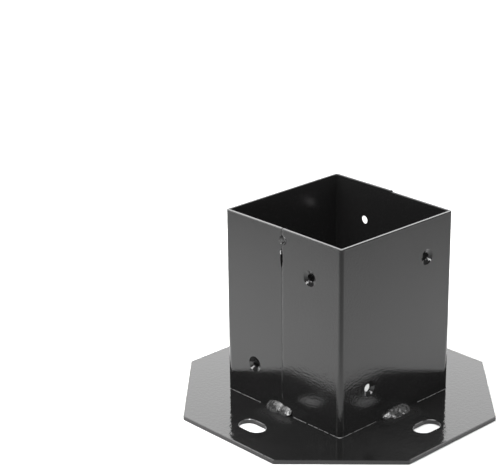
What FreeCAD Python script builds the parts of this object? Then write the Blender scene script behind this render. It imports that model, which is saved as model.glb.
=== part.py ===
# Deck post base: a square sheet-metal sleeve for a wooden post, welded to an eight-sided floor plate.
# Millimetres, +Z up, origin at the middle of the plate's underside. The sleeve's walls face X and Y.
import FreeCAD, Part
import math
import os

# Floor plate
plate_thick = 3.0
plate_corner_round = 0.8
drain_dia = 60.0

# Anchor slots, one on each side of the plate, long axis along that side
slot_length = 19.0
slot_width = 12.0
slot_from_wall = 24.8  # from the sleeve's outside face to the slot's middle
slot_from_edge = 20.5  # from the slot's middle to the plate's edge

# Sleeve, two folded halves that butt at the middle of the left and right walls
post_room = 91.4  # clear inside width, for a post of nominal 4x4 size
sheet = 2.0
fold_inside_radius = 0.3
sleeve_height = 117.4
rim_fall_right = 0.75  # the front half's rim is this much lower at the right wall than at the left one
rim_fall_front = 0.5  # and this much lower at the front wall than at the seam
seam_half = 0.35  # half the width of the shallow groove that shows where the halves butt
seam_dip = 0.12

# Countersunk screw holes, two on each wall: one high on the right, one low on the left, seen from outside
screw_dia = 5.0
sink_dia = 9.8
sink_depth = 1.1
screw_from_fold = 24.0  # from the outside of the neighbouring wall
screw_from_rim = 24.4
screw_from_foot = 24.0
front_high_shift = 1.5  # the upper holes stand off the pattern by this much, to the right seen from outside
right_high_shift = -2.0
left_high_shift = -1.0

# Open stretch of the left seam, below its tack weld
gap_width = 2.0
gap_length = 13.0
gap_below_rim = 11.9
gap_shift = 0.1  # towards the back half, whose edge bows out more

# Foot welds, fillet beads laid in overlapping drops
bead_drops = 3
bead_pitch = 4.9
bead_fade = 0.1  # each next drop is smaller by this share of the first
bead_flat = 6.0  # from a drop's middle to the straight line between its two toes
bead_leg = 5.2
left_bead_up = 6.2  # the left bead lies more on the wall, the front one more on the plate
left_bead_out = 4.2
left_bead_shift = -3.2  # along the wall, to the right seen from outside
front_bead_up = 4.4
front_bead_out = 6.2
front_bead_shift = 0.8

# Tack welds on the seams, each with the crater that the arc leaves
tack_dia = 6.2
tack_proud = 1.0
tack_below_rim = 6.4
crater_dia = 1.6
crater_deep = 0.4

# Broken edges of the cut sheet
edge_break = 0.35

sleeve_out = post_room + 2 * sheet
wall = sleeve_out / 2
slot_out = wall + slot_from_wall
plate_half = slot_out + slot_from_edge
plate_corner = plate_half * math.tan(math.radians(22.5))
rim = plate_thick + sleeve_height

Z_AXIS = FreeCAD.Vector(0, 0, 1)
ORIGIN = FreeCAD.Vector(0, 0, 0)
FRONT, RIGHT, BACK, LEFT = range(4)  # quarter turns from the front wall


def vec(x, y, z=0.0):
    return FreeCAD.Vector(x, y, z)


def turned(shape, quarter_turns):
    """A copy of the shape, turned about the middle of the sleeve."""
    copy = shape.copy()
    copy.rotate(ORIGIN, Z_AXIS, 90 * quarter_turns)
    return copy


def polygon_face(corners):
    return Part.Face(Part.makePolygon(corners + corners[:1]))


def flat_edges(shape, height):
    """The edges of the shape that lie all the way at one height."""
    return [edge for edge in shape.Edges
            if max(abs(edge.BoundBox.ZMin - height), abs(edge.BoundBox.ZMax - height)) < 1e-6]


def anchor_slot():
    """The cutter of the slot on the front side, rounded at both ends."""
    end_radius = slot_width / 2
    straight = slot_length - slot_width
    cutter = Part.makeBox(straight, slot_width, plate_thick, vec(-straight / 2, -slot_out - end_radius))
    for x in (-straight / 2, straight / 2):
        cutter = cutter.fuse(Part.makeCylinder(end_radius, plate_thick, vec(x, -slot_out)))
    return cutter.removeSplitter()


def base_plate():
    corners = []
    for quarter in range(4):
        angle = math.radians(90 * quarter)
        for x, y in ((-plate_corner, -plate_half), (plate_corner, -plate_half)):
            corners.append(vec(x * math.cos(angle) - y * math.sin(angle),
                               x * math.sin(angle) + y * math.cos(angle)))
    plate = polygon_face(corners).extrude(Z_AXIS * plate_thick)
    upright = [edge for edge in plate.Edges if edge.BoundBox.ZLength > plate_thick / 2]
    plate = plate.makeFillet(plate_corner_round, upright)
    plate = plate.cut(Part.makeCylinder(drain_dia / 2, plate_thick))
    for quarter in range(4):
        plate = plate.cut(turned(anchor_slot(), quarter))
    return plate.makeChamfer(edge_break, flat_edges(plate, 0) + flat_edges(plate, plate_thick))


def folded_sheet():
    """One sheet folded into a U: a front wall and two half walls that end at the seams."""
    fold = fold_inside_radius + sheet
    inner = wall - sheet
    bend = wall - fold
    half = math.sqrt(0.5)

    def corner(side, radius):
        middle = vec(side * bend, -bend)
        return Part.Arc(middle + vec(side * radius, 0), middle + vec(side * radius * half, -radius * half),
                        middle + vec(0, -radius)).toShape()

    outside = [Part.makeLine(vec(-wall, 0), vec(-wall, -bend)), corner(-1, fold),
               Part.makeLine(vec(-bend, -wall), vec(bend, -wall)), corner(1, fold),
               Part.makeLine(vec(wall, -bend), vec(wall, 0))]
    inside = [Part.makeLine(vec(inner, 0), vec(inner, -bend)), corner(1, fold_inside_radius),
              Part.makeLine(vec(bend, -inner), vec(-bend, -inner)), corner(-1, fold_inside_radius),
              Part.makeLine(vec(-inner, -bend), vec(-inner, 0))]
    ends = [Part.makeLine(vec(wall, 0), vec(inner, 0)), Part.makeLine(vec(-inner, 0), vec(-wall, 0))]
    outline = Part.Wire(Part.__sortEdges__(outside + inside + ends))
    return Part.Face(outline).extrude(Z_AXIS * sleeve_height)


def above_rim(fall_right, fall_front):
    """The cutter of what stands above a rim that is cut a little out of square."""
    reach = sleeve_out
    corners = [vec(x, y, sleeve_height - fall_right * (x + wall) / sleeve_out + fall_front * y / wall)
               for x, y in ((-reach, -reach), (reach, -reach), (reach, reach), (-reach, reach))]
    return polygon_face(corners).extrude(Z_AXIS * sleeve_height)


def screw_hole(along, height):
    """The cutter of one countersunk hole through the front wall."""
    inwards = vec(0, 1, 0)
    mouth = vec(along, -wall, height)
    hole = Part.makeCylinder(screw_dia / 2, sheet, mouth, inwards)
    sink = Part.makeCone(sink_dia / 2, screw_dia / 2, sink_depth, mouth, inwards)
    return hole.fuse(sink)


def screw_holes():
    """All eight cutters, two on each of the four walls."""
    along = wall - screw_from_fold
    high_shifts = {FRONT: front_high_shift, RIGHT: right_high_shift, BACK: 0.0, LEFT: left_high_shift}
    cutters = []
    for quarter, high_shift in high_shifts.items():
        cutters.append(turned(screw_hole(along + high_shift, rim - screw_from_rim), quarter))
        cutters.append(turned(screw_hole(-along, plate_thick + screw_from_foot), quarter))
    return cutters


def seam_groove(quarter_turns):
    """The cutter of the shallow groove along a seam, a wedge whose tip is the groove's floor."""
    mouth = -wall - seam_dip
    wedge = [vec(-2 * seam_half, mouth), vec(2 * seam_half, mouth), vec(0, seam_dip - wall)]
    return turned(polygon_face(wedge).extrude(Z_AXIS * 2 * rim), quarter_turns)


def seam_gap():
    """The cutter of the lens-shaped opening where the edges of the left seam bow apart."""
    top = vec(-wall, gap_shift, rim - gap_below_rim)
    low = top - Z_AXIS * gap_length
    middle = (top + low) / 2
    sides = [Part.Arc(top, middle + vec(0, side * gap_width / 2), low).toShape() for side in (-1, 1)]
    return Part.Face(Part.Wire(Part.__sortEdges__(sides))).extrude(vec(sheet, 0))


def sleeve_half(quarter_turns, fall_right=0.0, fall_front=0.0):
    half = folded_sheet()
    if fall_right or fall_front:
        half = half.cut(above_rim(fall_right, fall_front))
    rim_face = max(half.Faces, key=lambda face: face.CenterOfMass.z)
    half = half.makeChamfer(edge_break, rim_face.Edges)
    half.translate(Z_AXIS * plate_thick)
    half = turned(half, quarter_turns)
    for cutter in screw_holes() + [seam_groove(LEFT), seam_groove(RIGHT), seam_gap()]:
        half = half.cut(cutter)
    return half


def foot_weld(quarter_turns, leg_up=bead_leg, leg_out=bead_leg, shift=0.0):
    """A bead in the corner of a wall and the plate, with its largest drop at the right seen from outside."""
    length = (bead_drops - 1) * bead_pitch
    drops = []
    for index in range(bead_drops):
        share = 1 - index * bead_fade
        up, out = leg_up * share, leg_out * share
        chord = math.hypot(up, out)
        radius = math.hypot(bead_flat, chord / 2)
        middle_out = out / 2 - bead_flat * up / chord
        middle_up = up / 2 - bead_flat * out / chord
        along = shift + length / 2 - index * bead_pitch
        middle = vec(along, -wall - middle_out, plate_thick + middle_up)
        drops.append(Part.makeSphere(radius, middle, vec(1, 0)))
    bead = drops[0].multiFuse(drops[1:])
    reach = 2 * (leg_up + leg_out)
    width = length + 2 * reach
    corner = Part.makeBox(width, reach, reach, vec(shift - width / 2, -wall - reach, plate_thick))
    return turned(bead.common(corner).removeSplitter(), quarter_turns)


def seam_tack(quarter_turns):
    """A round tack on the middle of a wall, with a crater near its lower edge."""
    height = rim - tack_below_rim
    outwards = vec(0, -1, 0)
    radius = (tack_dia ** 2 / 4 + tack_proud ** 2) / (2 * tack_proud)
    drop = Part.makeSphere(radius, vec(0, radius - tack_proud - wall, height))
    seat = Part.makeCylinder(tack_dia, tack_dia, vec(0, -wall, height), outwards)
    crater_floor = vec(0, crater_deep - tack_proud - wall, height - crater_dia / 2)
    crater = Part.makeCylinder(crater_dia / 2, crater_deep, crater_floor, outwards)
    return turned(drop.common(seat).cut(crater), quarter_turns)


parts = {
    "base_plate": base_plate(),
    "sleeve_half_front": sleeve_half(FRONT, rim_fall_right, rim_fall_front),
    "sleeve_half_back": sleeve_half(BACK),
    "foot_weld_left": foot_weld(LEFT, left_bead_up, left_bead_out, left_bead_shift),
    "foot_weld_front": foot_weld(FRONT, front_bead_up, front_bead_out, front_bead_shift),
    "foot_weld_right": foot_weld(RIGHT),
    "foot_weld_back": foot_weld(BACK),
    "seam_tack_left": seam_tack(LEFT),
    "seam_tack_right": seam_tack(RIGHT),
}

os.makedirs("parts", exist_ok=True)
for name, shape in parts.items():
    shape.exportStep("parts/" + name + ".step")
    box = shape.BoundBox
    print(name, len(shape.Solids), "solid", round(shape.Volume, 1), "mm3", shape.isValid(),
          [round(value, 2) for value in (box.XMin, box.YMin, box.ZMin, box.XMax, box.YMax, box.ZMax)])
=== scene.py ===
# %% [markdown]
# # A black deck post base
# The real object is a small welded bracket: an eight-sided steel plate that is bolted to a deck or a
# slab, and a square sleeve on it that a wooden post stands in. All of it has one coat of gloss black
# powder paint. The solids arrive from CAD at their real size, in metres. This lesson gives them their
# finish, lays the welds in more detail and sets up the studio.

# %% Load the solids and keep their box
import math
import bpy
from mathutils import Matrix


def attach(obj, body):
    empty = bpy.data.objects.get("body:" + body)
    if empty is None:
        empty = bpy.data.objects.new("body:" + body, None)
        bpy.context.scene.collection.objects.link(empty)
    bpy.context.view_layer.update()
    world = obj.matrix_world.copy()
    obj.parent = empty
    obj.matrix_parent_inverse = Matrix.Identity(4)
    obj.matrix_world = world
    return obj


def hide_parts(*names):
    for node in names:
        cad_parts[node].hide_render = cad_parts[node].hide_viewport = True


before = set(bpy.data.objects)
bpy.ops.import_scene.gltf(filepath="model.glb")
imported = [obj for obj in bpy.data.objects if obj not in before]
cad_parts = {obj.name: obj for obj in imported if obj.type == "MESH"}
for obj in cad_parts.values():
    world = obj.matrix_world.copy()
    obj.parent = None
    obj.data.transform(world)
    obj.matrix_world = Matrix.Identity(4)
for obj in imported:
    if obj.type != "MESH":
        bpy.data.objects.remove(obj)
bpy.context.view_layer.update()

from types import SimpleNamespace

import bpy
from mathutils import Matrix, Quaternion, Vector

MM = 0.001
print("solids:", sorted(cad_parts))

# %% [markdown]
# ## Sizes that the rest is set out from
# Paint and welds have to meet the metal exactly. Three sizes set out all the rest: how high the plate's
# top lies, how far the sleeve's walls stand from its middle, and how high its rim is. They could be
# typed in, but read from the solids they stay right when a solid changes.

# %% Sizes from the solids
X, Y, Z = range(3)
MICROMETRE_DIGITS = 6


def solid_reach(name, axis):
    """How far a solid reaches from the origin along an axis, in metres, to the nearest micrometre."""
    return round(max(vertex.co[axis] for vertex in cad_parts[name].data.vertices), MICROMETRE_DIGITS)


PLATE_TOP = solid_reach("base_plate", Z)
WALL = solid_reach("sleeve_half_back", Y)
RIM = solid_reach("sleeve_half_back", Z)
print("plate top, wall and rim in mm:", [round(size / MM, 3) for size in (PLATE_TOP, WALL, RIM)])

# %% [markdown]
# ## Camera
# The picture was taken with a long lens from one corner, a little above the rim, so opposite edges stay
# almost parallel. Place, aim and lens were worked out from the straight edges of the real object. A
# long lens from far away is the way to get such a calm perspective: a short lens close by would splay
# the walls.

# %% Camera at the photograph's viewing angle
CAMERA_PLACE = Vector((-665.9, -634.7, 450.0)) * MM
CAMERA_AIM = Vector((-27.7, 49.7, 97.35)) * MM
CAMERA_ROLL = math.radians(-0.765)
CAMERA_LENS_MM = 119.49

camera_data = bpy.data.cameras.new("photo_camera")
camera_data.lens = CAMERA_LENS_MM
camera = bpy.data.objects.new("photo_camera", camera_data)
bpy.context.scene.collection.objects.link(camera)
camera.location = CAMERA_PLACE
look = (CAMERA_AIM - CAMERA_PLACE).to_track_quat("-Z", "Y")
camera.rotation_euler = (look @ Quaternion((0, 0, 1), CAMERA_ROLL)).to_euler()
bpy.context.scene.camera = camera
print("camera distance in mm:", round((CAMERA_AIM - CAMERA_PLACE).length / MM))

# %% [markdown]
# ## Floor and studio light
# Gloss black paint has almost no colour of its own: what we see is the room in it. The walls mirror the
# pale floor beside them, the plate mirrors the bright backdrop behind, and where the plate mirrors the
# walls it is dark. One bright dome would be quicker to set up, but it turns every face the same grey.
# So each lamp here is placed by what it should show in: the large one above and the backdrop in the
# plate, the strips at the left and right in the countersinks, the low one in front in the ends of the
# welds, the small one behind in the rim, and one far out on each side in the broken edge of the plate.
# A weak lamp evens out the stretch of floor that the left wall mirrors.

# %% Floor
FLOOR_SIZE = 6.0
FLOOR_TONE = 0.85
FLOOR_DULLNESS = 0.9


def grey(tone):
    """A colour without any hue."""
    return (tone, tone, tone, 1)


def new_paint(name):
    """A new material, and the shader in it."""
    material = bpy.data.materials.new(name)
    material.use_nodes = True
    return material, material.node_tree.nodes["Principled BSDF"]


bpy.ops.object.select_all(action="DESELECT")
bpy.ops.mesh.primitive_plane_add(size=FLOOR_SIZE)
floor = bpy.context.object
floor.name = "studio_floor"
floor_paint, floor_shader = new_paint("pale_floor")
floor_shader.inputs["Base Color"].default_value = grey(FLOOR_TONE)
floor_shader.inputs["Roughness"].default_value = FLOOR_DULLNESS
floor_shader.inputs["Specular IOR Level"].default_value = 0.0
floor.data.materials.append(floor_paint)
print("floor:", floor.name, "side in m:", FLOOR_SIZE)

# %% Lamps
# What lamps are aimed at, in metres
SLEEVE_MIDDLE = (0, 0, 0.05)
RIM_MIDDLE = (0, 0, 0.1)
PLATE_EDGE_LEFT = (-0.093, 0.02, 0.003)
PLATE_EDGE_RIGHT = (0.02, -0.093, 0.003)
FLOOR_LEFT = (-0.17, -0.01, 0)
FLOOR_BEHIND = (0.489, 0.501, 0)
# Which way the upper edge of a lamp points
UPWARDS = Vector((0, 0, 1))
FRONTWARDS = Vector((-1, -1, 0))


def softbox(name, place, aim, size, watts, spread=180, upright=UPWARDS):
    """A soft rectangular lamp at place, in metres, that shines towards aim in a cone of spread degrees."""
    lamp = bpy.data.lights.new(name, "AREA")
    lamp.shape = "RECTANGLE"
    lamp.size, lamp.size_y = size
    lamp.energy = watts
    lamp.spread = math.radians(spread)
    holder = bpy.data.objects.new(name, lamp)
    bpy.context.scene.collection.objects.link(holder)
    holder.location = place
    towards = (Vector(aim) - Vector(place)).normalized()
    side = towards.cross(upright).normalized()
    holder.rotation_euler = Matrix((side, side.cross(towards), -towards)).transposed().to_euler()
    holder.visible_camera = False
    print("lamp:", name, "watts:", watts)


softbox("top_softbox", (0.218, 0.418, 0.562), FLOOR_BEHIND, size=(0.742, 1.472), watts=7.5, spread=99.5,
        upright=FRONTWARDS)
softbox("backdrop", (1.25, 1.34, 1.0), RIM_MIDDLE, size=(1.6, 1.6), watts=25.0)
softbox("left_strip", (-1.07, 0.26, 0.245), SLEEVE_MIDDLE, size=(0.13, 0.24), watts=1.5)
softbox("right_strip", (0.22, -1.08, 0.245), SLEEVE_MIDDLE, size=(0.13, 0.24), watts=1.5)
softbox("low_front_softbox", (-0.72, -0.78, 0.15), SLEEVE_MIDDLE, size=(0.5, 0.2), watts=4.6)
softbox("left_upper_strip", (-1.05, 0.26, 0.50), SLEEVE_MIDDLE, size=(0.13, 0.30), watts=1.0)
softbox("right_upper_strip", (0.22, -1.06, 0.50), SLEEVE_MIDDLE, size=(0.13, 0.30), watts=1.2)
softbox("left_floor_softbox", (-0.36, -0.14, 0.5), FLOOR_LEFT, size=(0.15, 0.15), watts=0.085, spread=40)
softbox("rim_softbox", (-0.55, 1.0, 1.05), RIM_MIDDLE, size=(0.25, 0.25), watts=0.85)
softbox("left_edge_softbox", (-0.55, 0.69, 0.585), PLATE_EDGE_LEFT, size=(0.2, 0.14), watts=0.55)
softbox("right_edge_softbox", (0.705, -0.557, 0.564), PLATE_EDGE_RIGHT, size=(0.2, 0.14), watts=0.35)

# %% Weak light of the room
ROOM_LIGHT = 0.13

world = bpy.data.worlds.new("studio_room")
world.use_nodes = True
room = world.node_tree.nodes["Background"]
room.inputs["Color"].default_value = grey(1)
room.inputs["Strength"].default_value = ROOM_LIGHT
bpy.context.scene.world = world
bpy.context.scene.view_settings.view_transform = "Standard"
print("room:", world.name, "strength:", ROOM_LIGHT)

# %% [markdown]
# ## The coat
# Powder paint is sprayed on dry and then melted. It never flows quite flat: the skin keeps shallow
# waves, which painters call orange peel, and they are what makes a reflection in it shiver. Displaced
# geometry could show them, but they are only hundredths of a millimetre high, so a bump is enough.
# Sheet and welds share the effect, so it is built once, as a node group, and each material places it
# with values of its own. A second group makes the slow clouds in which the paint is a little paler and
# duller.

# %% Helpers for shader nodes
WHOLE = (0.0, 1.0)
RISING = (0.0, 1.0)
FALLING = (1.0, 0.0)


def add_node(tree, kind, inputs=None, **settings):
    """A new node with its settings, and each input set to a value or linked to another node's socket."""
    node = tree.nodes.new(kind)
    for key, value in settings.items():
        setattr(node, key, value)
    for key, value in (inputs or {}).items():
        if isinstance(value, bpy.types.NodeSocket):
            tree.links.new(value, node.inputs[key])
        else:
            node.inputs[key].default_value = value
    return node


def math_node(tree, operation, *values):
    """A math node on values, each of them a number or another node's socket."""
    return add_node(tree, "ShaderNodeMath", dict(enumerate(values)), operation=operation).outputs["Value"]


def ramp(tree, value, limits, results):
    """A value that goes smoothly from one result to the next while another passes between the limits."""
    inputs = {"Value": value, "From Min": limits[0], "From Max": limits[1],
              "To Min": results[0], "To Max": results[1]}
    return add_node(tree, "ShaderNodeMapRange", inputs, interpolation_type="SMOOTHSTEP").outputs["Result"]


def new_group(name, values, output):
    """A node group that takes a place and some values and puts out one value, with its inner sockets."""
    group = bpy.data.node_groups.new(name, "ShaderNodeTree")
    group.interface.new_socket("Place", in_out="INPUT", socket_type="NodeSocketVector")
    for value in values:
        group.interface.new_socket(value, in_out="INPUT", socket_type="NodeSocketFloat")
    group.interface.new_socket(output, in_out="OUTPUT", socket_type="NodeSocketFloat")
    return group, group.nodes.new("NodeGroupInput").outputs, group.nodes.new("NodeGroupOutput").inputs


# %% Orange peel as a node group
# The scale of a pattern is how many of its waves go into a metre
WAVE_PATTERN = {"Scale": 430.0, "Detail": 0.0}
RIPPLE_PATTERN = {"Scale": 1050.0, "Detail": 1.0}
RIPPLE_SHARE = 0.45

peel_group, peel_in, peel_out = new_group("orange_peel", ("Coarseness", "Fineness"), "Height")
finer = add_node(peel_group, "ShaderNodeVectorMath", {0: peel_in["Place"], "Scale": peel_in["Fineness"]},
                 operation="SCALE").outputs["Vector"]
waves = add_node(peel_group, "ShaderNodeTexNoise", {"Vector": finer, **WAVE_PATTERN}).outputs["Fac"]
ripples = add_node(peel_group, "ShaderNodeTexNoise", {"Vector": finer, **RIPPLE_PATTERN}).outputs["Fac"]
skin = math_node(peel_group, "MULTIPLY_ADD", ripples, RIPPLE_SHARE, waves)
peel_group.links.new(math_node(peel_group, "MULTIPLY", skin, peel_in["Coarseness"]), peel_out["Height"])
print("group:", peel_group.name, "nodes:", len(peel_group.nodes))

# %% Cloudiness of the coat as a node group
CLOUD_PATTERN = {"Scale": 38.0, "Detail": 3.0, "Roughness": 0.55}
CLOUD_LIMITS = (0.3, 0.7)

cloud_group, cloud_in, cloud_out = new_group("coat_cloud", (), "Cloud")
drift = add_node(cloud_group, "ShaderNodeTexNoise", {"Vector": cloud_in["Place"], **CLOUD_PATTERN})
cloud_group.links.new(ramp(cloud_group, drift.outputs["Fac"], CLOUD_LIMITS, RISING), cloud_out["Cloud"])
print("group:", cloud_group.name, "nodes:", len(cloud_group.nodes))

# %% [markdown]
# ## Paint of the sheet
# Plate and sleeve are one black, but not the same all over. A picture wrapped round them could show
# that, or a material for each region, but pictures stretch and regions have hard borders. Here one
# function builds the paint from Object coordinates, which are the real metres of the metal, so the
# pattern stays on it whatever the camera does. The first helper works out where a point lies: how far
# out, how near the front fold, and whether it is inside the sleeve.

# %% Where a point of the sheet lies
SHEET = 2.0 * MM
INSIDE = WALL - SHEET / 2
INSIDE_BLEND = 0.4 * MM
NEAR_FOLD = (30 * MM, 62 * MM)
# How far a step along x or y leads straight towards a fold
TO_FOLD = math.sqrt(0.5)


def use_group(tree, group, inputs, output):
    """Places a node group in a material with inputs of its own, and gives the output asked for."""
    return add_node(tree, "ShaderNodeGroup", inputs, node_tree=group).outputs[output]


def sheet_place(tree):
    """Where a point of the sheet lies, as sockets of nodes that read Object coordinates."""
    at = SimpleNamespace(place=add_node(tree, "ShaderNodeTexCoord").outputs["Object"])
    at.x, at.y, at.z = add_node(tree, "ShaderNodeSeparateXYZ", {"Vector": at.place}).outputs
    at.far_x = math_node(tree, "ABSOLUTE", at.x)
    at.far_y = math_node(tree, "ABSOLUTE", at.y)
    at.far_out = math_node(tree, "MAXIMUM", at.far_x, at.far_y)
    at.inside = ramp(tree, at.far_out, (INSIDE - INSIDE_BLEND, INSIDE + INSIDE_BLEND), FALLING)
    at.frontness = math_node(tree, "MULTIPLY", math_node(tree, "ADD", at.x, at.y), -TO_FOLD)
    at.cloud = use_group(tree, cloud_group, {"Place": at.place}, "Cloud")
    return at


# %% [markdown]
# ### Gloss
# Powder reaches the inside of the sleeve only thinly, so it is duller there, as it is on the plate
# round the welds, where soot lies under the coat. Smooth ramps let one gloss run into the next, as
# sprayed powder does.

# %% Gloss of the sheet
FOLD_DULLNESS = 0.015
INSIDE_DULLNESS = 0.21
SOOT_DULLNESS = 0.28
# Where the soot of a weld fades on the plate, along the wall and out from the sleeve's middle
SOOT_ALONG = (10 * MM, 17 * MM)
SOOT_OUT = (55 * MM, 64 * MM)


def mix(tree, kind, share, first, second):
    """The first value or colour where the share is 0, the second where it is 1."""
    inputs = {"Factor": share, "A": first, "B": second}
    return add_node(tree, "ShaderNodeMix", inputs, data_type=kind).outputs["Result"]


def sheet_gloss(tree, at, folded, dullness):
    """Roughness between two values by the clouds, and more at the fold, inside and round the welds."""
    near_fold = ramp(tree, at.frontness, NEAR_FOLD, RISING)
    clouded = ramp(tree, at.cloud, WHOLE, dullness)
    outside = math_node(tree, "MULTIPLY_ADD", near_fold, FOLD_DULLNESS, clouded)
    if not folded:
        along_wall = math_node(tree, "MINIMUM", at.far_x, at.far_y)
        soot = math_node(tree, "MULTIPLY", ramp(tree, along_wall, SOOT_ALONG, FALLING),
                         ramp(tree, at.far_out, SOOT_OUT, FALLING))
        outside = mix(tree, "FLOAT", soot, outside, SOOT_DULLNESS)
    return mix(tree, "FLOAT", at.inside, outside, INSIDE_DULLNESS)


# %% [markdown]
# ### Tone
# Two blacks that lie very close together are mixed by the clouds, because an even black looks like
# plastic. At the seam the lip of the front half catches a thin glint, and that glint is painted into the
# tone as a paler line: a painted highlight. A strip of mesh could carry it, but would stand off the wall,
# so it is a tone too.

# %% Tone of the sheet
COAT_TONES = (0.0080, 0.0095)
INSIDE_TONE = 0.010
# The lip's paler tone is a painted highlight that stands in for the glint on the seam
LIP_HIGHLIGHT_TONE = 0.020
# Where the lip lies along the left and right walls
SEAM_LIP = -0.9 * MM
# How far from the lip its painted highlight fades, and at which heights it starts
LIP_FADE = (0.2 * MM, 0.9 * MM)
LIP_START = (22 * MM, 36 * MM)


def sheet_tone(tree, at, folded):
    """The black of the coat, with a painted highlight as a paler line on the lip at the seam of the sleeve.
    """
    dark, pale = COAT_TONES
    outside = mix(tree, "RGBA", at.cloud, grey(dark), grey(pale))
    if folded:
        # A paler line on the lip, a painted highlight of the glint on the seam, only above the dark foot
        from_lip = math_node(tree, "ABSOLUTE", math_node(tree, "SUBTRACT", at.y, SEAM_LIP))
        lip_highlight = math_node(tree, "MULTIPLY", ramp(tree, from_lip, LIP_FADE, FALLING),
                        ramp(tree, at.z, LIP_START, RISING))
        outside = mix(tree, "RGBA", lip_highlight, outside, grey(LIP_HIGHLIGHT_TONE))
    return mix(tree, "RGBA", at.inside, outside, grey(INSIDE_TONE))


# %% [markdown]
# ### Relief
# The peel is finer on the sleeve than on the plate, and coarser towards the front fold. Close to a fold
# the sheet bows back a little before the real bend starts, which narrows the reflection at the foot. A
# slope in the bump gives that without a change to the solid.

# %% Relief of the sheet
PEEL_HEIGHT = 0.03 * MM
FOLD_RADIUS = 2.3 * MM
BOW_WIDTH = 0.93 * MM
BOW_STEEPNESS = 247.0
# Where the bend and the bow before it start, measured from the sleeve's middle straight towards a fold
BEND_START = (2 * WALL - FOLD_RADIUS) * TO_FOLD
BOW_START = BEND_START - BOW_WIDTH
# The heights between which the bow fades
BOW_FADE = (22 * MM, 50 * MM)


def sheet_relief(tree, at, folded, coarseness, fineness):
    """The normal of the coat: orange peel, and on the sleeve the bow of the sheet beside its folds."""
    peel_inputs = {"Place": at.place, "Fineness": fineness,
                   "Coarseness": ramp(tree, at.frontness, NEAR_FOLD, coarseness)}
    height = use_group(tree, peel_group, peel_inputs, "Height")
    if folded:
        both_ways = math_node(tree, "ADD", at.far_x, at.far_y)
        towards_fold = math_node(tree, "MULTIPLY", both_ways, TO_FOLD)
        near_foot = ramp(tree, at.z, BOW_FADE, (1.0 / PEEL_HEIGHT, 0.0))
        for start, steepness in ((BOW_START, -BOW_STEEPNESS), (BEND_START, BOW_STEEPNESS)):
            past = math_node(tree, "MAXIMUM", math_node(tree, "SUBTRACT", towards_fold, start), 0.0)
            bow = math_node(tree, "MULTIPLY", math_node(tree, "MULTIPLY", past, past), steepness)
            height = math_node(tree, "MULTIPLY_ADD", bow, near_foot, height)
    bump_inputs = {"Strength": 1.0, "Distance": PEEL_HEIGHT, "Height": height}
    return add_node(tree, "ShaderNodeBump", bump_inputs).outputs["Normal"]


# %% Coat of the plate and the sleeve
def sheet_coat(name, folded, dullness, coarseness, fineness):
    """Gloss black powder paint, for the flat plate or for the folded sleeve."""
    material, shader = new_paint(name)
    tree = material.node_tree
    at = sheet_place(tree)
    tree.links.new(sheet_gloss(tree, at, folded, dullness), shader.inputs["Roughness"])
    tree.links.new(sheet_tone(tree, at, folded), shader.inputs["Base Color"])
    tree.links.new(sheet_relief(tree, at, folded, coarseness, fineness), shader.inputs["Normal"])
    return material


plate_coat = sheet_coat("plate_powder_coat", folded=False, dullness=(0.05, 0.065), coarseness=(1.1, 1.5),
                        fineness=1.3)
sleeve_coat = sheet_coat("sleeve_powder_coat", folded=True, dullness=(0.10, 0.12), coarseness=(1.0, 2.4),
                         fineness=1.9)
coats = {"base_plate": plate_coat, "sleeve_half_front": sleeve_coat, "sleeve_half_back": sleeve_coat}
for name, coat in coats.items():
    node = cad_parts[name]
    node.data.materials.clear()
    node.data.materials.append(coat)
    print("coated:", name, "with", coat.name, "nodes:", len(coat.node_tree.nodes))

# %% [markdown]
# ## Paint of the welds
# The same powder covers the welds, but it lies thin and uneven over the rough metal, so it looks
# mottled. Its greyer tones on the beads are a painted sheen, standing in for the room mirrored in the
# coin faces. One function makes the paint with other tones for the beads, the tacks, the line where
# sheet and plate meet, whose paler tone is a painted glint, and a burr, whose pale grey is a painted
# highlight. The orange peel group gives both bump and mottling.

# %% Material of the welds
WELD_SHINE = 0.7
WELD_PEEL = {"Coarseness": 0.9, "Fineness": 1.0}
CLOUD_DULLNESS = 0.04
MOTTLE_LIMITS = (0.5, 0.8)


def weld_coat(name, tones, dullness, bump_height):
    """The same paint where it lies thin and uneven, mottled between two tones by what is under it; paler
    tones passed in are painted light.
    """
    material, shader = new_paint(name)
    tree = material.node_tree
    shader.inputs["Specular IOR Level"].default_value = WELD_SHINE
    place = add_node(tree, "ShaderNodeTexCoord").outputs["Object"]
    cloud = use_group(tree, cloud_group, {"Place": place}, "Cloud")
    peel = use_group(tree, peel_group, {"Place": place, **WELD_PEEL}, "Height")
    gloss = ramp(tree, cloud, WHOLE, (dullness, dullness + CLOUD_DULLNESS))
    dark, light = tones
    tone = mix(tree, "RGBA", ramp(tree, peel, MOTTLE_LIMITS, RISING), grey(dark), grey(light))
    bump = add_node(tree, "ShaderNodeBump", {"Strength": 1.0, "Distance": bump_height, "Height": peel})
    tree.links.new(gloss, shader.inputs["Roughness"])
    tree.links.new(tone, shader.inputs["Base Color"])
    tree.links.new(bump.outputs["Normal"], shader.inputs["Normal"])
    print("coat:", name, "nodes:", len(tree.nodes))
    return material


# The beads' greyer tones are a painted sheen that stands in for the room mirrored in the coin faces
weld_paint_and_sheen = weld_coat("weld_coat_and_painted_sheen", tones=(0.022, 0.050), dullness=0.18, bump_height=0.006 * MM)
tack_paint = weld_coat("tack_powder_coat", tones=(0.005, 0.012), dullness=0.12, bump_height=0.004 * MM)
# The joint line's paler tone is a painted glint, added to the lamps' glint in its hollow
joint_paint_and_glint = weld_coat("joint_coat_painted_glint", tones=(0.025, 0.07), dullness=0.2, bump_height=0.03 * MM)
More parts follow.
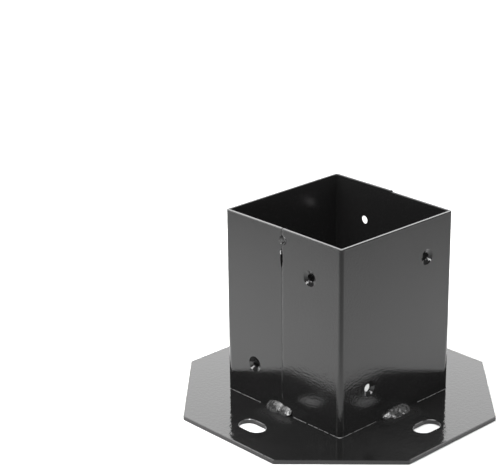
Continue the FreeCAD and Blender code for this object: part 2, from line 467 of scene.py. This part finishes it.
# The burr's pale grey is a painted highlight that stands in for its glint
burr_painted_highlight = weld_coat("burr_painted_highlight", tones=(0.22, 0.32), dullness=0.25, bump_height=0.02 * MM)

# %% [markdown]
# ## Foot welds
# Each wall is held to the plate by one short fillet weld. The welder moves in steps, so a bead is a row
# of drops that froze one after the other, like fallen coins, and where a coin ends it has a small flat
# face that shines. The CAD bead is a plain row of balls. Here each coin is a ball, flattened and leaned
# over, and bisect cuts its end flat. The row is melted into one skin by a voxel remesh, which is what
# the heat does too, and a displacement makes it a little lumpy. Bisect then cuts it flush with the wall
# and the plate. Sculpting would do, but not the same twice.

# %% Helpers for operators and modifiers
def select_only(*objects):
    """Leaves only these objects selected, the first of them active."""
    bpy.ops.object.select_all(action="DESELECT")
    for thing in objects:
        thing.select_set(True)
    bpy.context.view_layer.objects.active = objects[0]


def apply_modifier(piece, kind, **settings):
    """Adds a modifier with these settings and applies it at once."""
    modifier = piece.modifiers.new(kind.lower(), kind)
    for key, value in settings.items():
        setattr(modifier, key, value)
    select_only(piece)
    bpy.ops.object.modifier_apply(modifier=modifier.name)


def apply_place():
    """Puts the selected object's place, turn and size into its mesh, so the object sits at the origin."""
    bpy.ops.object.transform_apply(location=True, rotation=True, scale=True)


# %% Helpers for shaping a weld
SMOOTHING_FACTOR = 0.5
CUT_THRESHOLD = 1e-7


def ball(place, half_sizes, turn=(0, 0, 0)):
    """A ball at place, squashed to half_sizes and turned, in millimetres and degrees."""
    bpy.ops.object.select_all(action="DESELECT")
    bpy.ops.mesh.primitive_uv_sphere_add(
        segments=32, ring_count=16, radius=1.0, location=Vector(place) * MM, scale=Vector(half_sizes) * MM,
        rotation=[math.radians(angle) for angle in turn])
    return bpy.context.object


def melt_skin(piece, voxel, smoothing):
    """Remeshes a piece into one closed skin, with voxels of this many millimetres, and smooths it."""
    apply_modifier(piece, "REMESH", mode="VOXEL", voxel_size=voxel * MM)
    apply_modifier(piece, "SMOOTH", factor=SMOOTHING_FACTOR, iterations=smoothing)


def melt_together(shapes, name, voxel, smoothing):
    """Joins shapes into one piece and melts them into one skin."""
    select_only(*shapes)
    bpy.ops.object.join()
    piece = bpy.context.object
    piece.name = piece.data.name = name
    apply_place()
    melt_skin(piece, voxel, smoothing)
    return piece


def cut_away(piece, place, direction):
    """Cuts off what lies beyond place in that direction, along a plane, and closes the cut."""
    select_only(piece)
    bpy.ops.object.mode_set(mode="EDIT")
    bpy.ops.mesh.select_all(action="SELECT")
    bpy.ops.mesh.bisect(plane_co=place, plane_no=direction, use_fill=True, clear_outer=True,
                        threshold=CUT_THRESHOLD)
    bpy.ops.object.mode_set(mode="OBJECT")


def cut_at_wall(piece):
    """Cuts a piece flush with the outside of the front wall."""
    cut_away(piece, (0, -WALL, 0), (0, 1, 0))


# %% Helpers for putting a piece in its place
QUARTER_TURNS = {"front": 0, "right": 1, "back": 2, "left": 3}
SHARP_EDGE = math.radians(35)


def set_on_wall(piece, side):
    """Turns a piece that was modelled at the front wall to the side that it belongs to."""
    select_only(piece)
    piece.rotation_euler = (0, 0, math.radians(90 * QUARTER_TURNS[side]))
    apply_place()


def finish_piece(piece, material, node=None):
    """Smooth shading, paint, and the piece's place in the frame."""
    select_only(piece)
    bpy.ops.object.shade_smooth_by_angle(angle=SHARP_EDGE)
    piece.data.materials.clear()
    piece.data.materials.append(material)
    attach(piece, "root")
    if node:
        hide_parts(node)
    points = [vertex.co / MM for vertex in piece.data.vertices]
    low = [round(min(point[axis] for point in points), 2) for axis in (X, Y, Z)]
    high = [round(max(point[axis] for point in points), 2) for axis in (X, Y, Z)]
    print(piece.name, "box in mm:", low, high, "faces:", len(piece.data.polygons))


# %% Coins of the foot welds
# Which way the flat ends of coins face: along the wall, out from it and up
LEFT_END_FACING = (0.722, 0.646, 0.248)
FRONT_TIP_FACING = (-0.243, 0.867, 0.434)
# A coin, in millimetres: its middle along the wall, out from it and up, its half sizes, its turn in
# degrees, and where it ends flat, a point there and the facing
LEFT_COINS = (
    ((-6.0, 0.0, 2.2), (7.5, 5.0, 2.8), (50, -13, 0), ((-1.0, 3.0, 2.2), LEFT_END_FACING)),
    ((1.3, -0.2, 1.8), (6.5, 4.6, 2.5), (50, -13, 0), ((5.3, 2.8, 1.7), LEFT_END_FACING)),
    ((7.6, 0.6, 2.6), (0.6, 1.6, 0.7), (55, -10, 0), None),
)
FRONT_COINS = (
    ((5.2, 1.2, 0.6), (6.0, 5.3, 2.6), (34, 9, 0), None),
    ((-4.6, 0.7, 1.6), (6.8, 2.6, 1.8), (42, -15, 0), None),
    ((-8.6, 0.7, 1.9), (3.6, 1.2, 1.2), (62.0, -22.3, -4.3), ((-8.82, 1.48, 2.29), FRONT_TIP_FACING)),
    ((-2.2, 3.4, 0.1), (4.2, 3.0, 1.5), (22, 3, 0), None),
    ((-3.0, 4.2, 0.4), (0.9, 0.9, 0.9), (0, 0, 0), None),
)
HIDDEN_COINS = (
    ((5.2, 1.5, 1.5), (5.6, 3.7, 1.6), (45, 12, 0), None),
    ((0.0, 1.5, 1.5), (5.2, 3.6, 1.6), (45, 12, 0), None),
    ((-5.0, 1.4, 1.4), (5.4, 3.3, 1.5), (45, 12, 0), None),
)
BEADS = {"left": LEFT_COINS, "front": FRONT_COINS, "right": HIDDEN_COINS, "back": HIDDEN_COINS}
print("coins of each bead:", {side: len(coins) for side, coins in BEADS.items()})

# %% Foot welds
# Voxels in millimetres, and rounds of smoothing
WELD_VOXEL = 0.2
WELD_SMOOTHING = 2
LUMP_WIDTH = 2.2 * MM
LUMP_HEIGHT = 0.12 * MM

weld_lumps = bpy.data.textures.new("weld_lumps", "CLOUDS")
weld_lumps.noise_scale = LUMP_WIDTH
weld_lumps.noise_depth = 1


def weld_coin(middle, half_sizes, turn, flat_end):
    """One drop of a bead at the front wall's foot, with its end cut flat where it has one."""
    along, out, up = middle
    coin = ball((along, -WALL / MM - out, PLATE_TOP / MM + up), half_sizes, turn)
    if flat_end:
        (along, out, up), (facing_along, facing_out, facing_up) = flat_end
        end = (along * MM, -WALL - out * MM, PLATE_TOP + up * MM)
        cut_away(coin, end, (facing_along, -facing_out, facing_up))
    return coin


def foot_weld(side, coins):
    """A bead of coins in the corner of one wall and the plate."""
    drops = [weld_coin(*coin) for coin in coins]
    bead = melt_together(drops, "foot_weld_" + side + "_bead", WELD_VOXEL, WELD_SMOOTHING)
    apply_modifier(bead, "DISPLACE", texture=weld_lumps, texture_coords="LOCAL", strength=LUMP_HEIGHT,
                   mid_level=0.5)
    cut_at_wall(bead)
    cut_away(bead, (0, 0, PLATE_TOP), (0, 0, -1))
    set_on_wall(bead, side)
    finish_piece(bead, weld_paint_and_sheen, "foot_weld_" + side)


for side, coins in BEADS.items():
    foot_weld(side, coins)

# %% [markdown]
# ## Seam tacks
# The two halves of the sleeve butt at the middle of the left and right walls, and one round tack holds
# each seam near the rim. The drop froze as a low ring with a filled middle, and near its lower edge the
# torch left two pits. A torus that is half sunk in the wall gives the ring and a flat ball its middle;
# a boolean takes out the pits, and a second remesh with some smoothing melts all of it into one skin.

# %% Seam tacks
# In millimetres: along the wall from the seam, down from the rim, and up from the floor
TACK_ALONG = 1.0
TACK_BELOW_RIM = 6.8
TACK_UP = RIM / MM - TACK_BELOW_RIM
RING_RADIUS = 2.0 * MM
RING_THICKNESS = 0.9 * MM
RING_SUNK = 0.25 * MM
RING_LEAN = math.radians(80)
# The flat ball in the ring's middle, in millimetres
MIDDLE_HALF_SIZES = (2.5, 0.7, 3.1)
MIDDLE_SUNK = 0.1
MIDDLE_LOWER = 0.2
# A pit near the ring's lower edge: its place along the wall and up from the tack's middle, and its radius
TACK_PITS = (((-0.5, -1.5), 1.0), ((1.1, -2.4), 0.85))
# How far from the wall a pit ends
PIT_FLOOR = 0.1
# Voxels and rounds of smoothing before and after the pits are cut
TACK_VOXEL = 0.12
TACK_SMOOTHING = 2
PITTED_VOXEL = 0.11
PITTED_SMOOTHING = 4


def cut_with(piece, cutter):
    """Takes the cutter's shape out of a piece and throws the cutter away."""
    apply_modifier(piece, "BOOLEAN", operation="DIFFERENCE", solver="EXACT", object=cutter)
    bpy.data.objects.remove(cutter)


def seam_tack(side):
    """A low ring of frozen metal on one seam, with a filled middle and two pits near its lower edge."""
    bpy.ops.object.select_all(action="DESELECT")
    bpy.ops.mesh.primitive_torus_add(
        major_segments=40, minor_segments=16, major_radius=RING_RADIUS, minor_radius=RING_THICKNESS,
        location=(TACK_ALONG * MM, -WALL + RING_SUNK, TACK_UP * MM), rotation=(RING_LEAN, 0, 0))
    ring = bpy.context.object
    middle = ball((TACK_ALONG, -WALL / MM + MIDDLE_SUNK, TACK_UP - MIDDLE_LOWER), MIDDLE_HALF_SIZES)
    tack = melt_together([ring, middle], "seam_tack_" + side + "_drop", TACK_VOXEL, TACK_SMOOTHING)
    for (along, up), radius in TACK_PITS:
        out = WALL / MM + radius + PIT_FLOOR
        cut_with(tack, ball((TACK_ALONG + along, -out, TACK_UP + up), (radius, radius, radius)))
    melt_skin(tack, PITTED_VOXEL, PITTED_SMOOTHING)
    cut_at_wall(tack)
    set_on_wall(tack, side)
    finish_piece(tack, tack_paint, "seam_tack_" + side)


for side in ("left", "right"):
    seam_tack(side)

# %% [markdown]
# ## A burr on the seam
# Below the left tack the edges of the two halves bow apart, and on one lip stands a tiny burr. Its pale
# grey is a painted highlight that stands in for the glint on it. One ball would look like a drop of paint,
# so two of them are melted together, and cut flush with the wall like the welds.

# %% Burr at the open stretch of the left seam
# A ball, in millimetres: its middle along the wall from the seam and down from the rim, its half sizes, its
# turn in degrees
BURR_BALLS = (
    ((-0.95, 14.6), (0.5, 0.45, 0.9), (0, 8, 0)),
    ((-0.75, 15.4), (0.4, 0.35, 0.6), (0, -12, 0)),
)
BURR_SUNK = 0.1
BURR_VOXEL = 0.09
BURR_SMOOTHING = 1

burr_balls = []
for (along, down), half_sizes, turn in BURR_BALLS:
    burr_balls.append(ball((along, BURR_SUNK - WALL / MM, RIM / MM - down), half_sizes, turn))
burr = melt_together(burr_balls, "seam_gap_burr", BURR_VOXEL, BURR_SMOOTHING)
cut_at_wall(burr)
set_on_wall(burr, "left")
# Pale grey paint here is a painted highlight
finish_piece(burr, burr_painted_highlight)

# %% [markdown]
# ## The coat's fillet along the foot
# Where the sleeve stands on the plate the melted powder ran together into a thin concave line, which
# catches the light all round the foot; its paler tone is a painted glint on top of the lamps' glint. A
# square with rounded corners is drawn along the foot, and extruded step by step down the curve of the
# fillet and back; merging the last edge with the first closes the ring. The line is broken at the welds
# and in a few other places, so blocks are taken out of it by boolean.

# %% Ring of paint along the foot
FILLET = 0.4 * MM
FILLET_STEPS = 6
FOLD_STEPS = 6
MERGE_DISTANCE = 0.001 * MM


def fillet_profile():
    """The fillet's outline from its upper edge down its hollow and back, as distances out and heights."""
    profile = []
    for step in range(1, FILLET_STEPS + 1):
        angle = math.radians(90 * step / FILLET_STEPS)
        profile.append((WALL + FILLET * (1 - math.cos(angle)), PLATE_TOP + FILLET * (1 - math.sin(angle))))
    return profile + [(WALL, PLATE_TOP), (WALL, PLATE_TOP + FILLET)]


def foot_fillet():
    """A concave ring of paint in the corner of the sleeve and the plate."""
    out, height = WALL, PLATE_TOP + FILLET
    bpy.ops.object.select_all(action="DESELECT")
    bpy.ops.mesh.primitive_plane_add(size=2 * out, location=(0, 0, height))
    ring = bpy.context.object
    ring.name = ring.data.name = "foot_coat_fillet"
    apply_place()
    bpy.ops.object.mode_set(mode="EDIT")
    bpy.ops.mesh.select_all(action="SELECT")
    bpy.ops.mesh.bevel(offset=FOLD_RADIUS, segments=FOLD_STEPS, affect="VERTICES")
    bpy.ops.mesh.select_all(action="SELECT")
    bpy.ops.mesh.delete(type="ONLY_FACE")
    bpy.ops.mesh.select_all(action="SELECT")
    for next_out, next_height in fillet_profile():
        bpy.ops.mesh.extrude_edges_move(TRANSFORM_OT_translate={"value": (0, 0, next_height - height)})
        share = next_out / out
        bpy.ops.transform.resize(value=(share, share, 1), center_override=(0, 0, next_height))
        out, height = next_out, next_height
    bpy.ops.mesh.select_all(action="SELECT")
    bpy.ops.mesh.remove_doubles(threshold=MERGE_DISTANCE)
    bpy.ops.mesh.normals_make_consistent(inside=False)
    bpy.ops.object.mode_set(mode="OBJECT")
    return ring


fillet = foot_fillet()
print("ring of paint, faces:", len(fillet.data.polygons))

# %% Breaks in the ring
# Stretches along each side, to the right seen from outside, that the paint leaves bare, in millimetres
FILLET_BREAKS = {
    "front": ((-17.3, 19.7),),
    "right": ((-13, 13),),
    "back": ((-13, 13),),
    "left": ((-19.0, 9.3), (20.0, 21.8), (25.4, 26.4), (29.6, 30.6), (33.8, 34.8), (38.3, 39.9)),
}
BLOCK_DEPTH = 4 * MM


def break_fillet(ring, side, start, end):
    """Takes a stretch of the ring away on one side, with a block as the cutter."""
    bpy.ops.object.select_all(action="DESELECT")
    bpy.ops.mesh.primitive_cube_add(size=1.0, location=((start + end) / 2 * MM, -WALL, PLATE_TOP),
                                    scale=((end - start) * MM, BLOCK_DEPTH, BLOCK_DEPTH))
    block = bpy.context.object
    apply_place()
    set_on_wall(block, side)
    cut_with(ring, block)


for side, stretches in FILLET_BREAKS.items():
    for start, end in stretches:
        break_fillet(fillet, side, start, end)
# The ring's paler paint is a painted glint
finish_piece(fillet, joint_paint_and_glint)
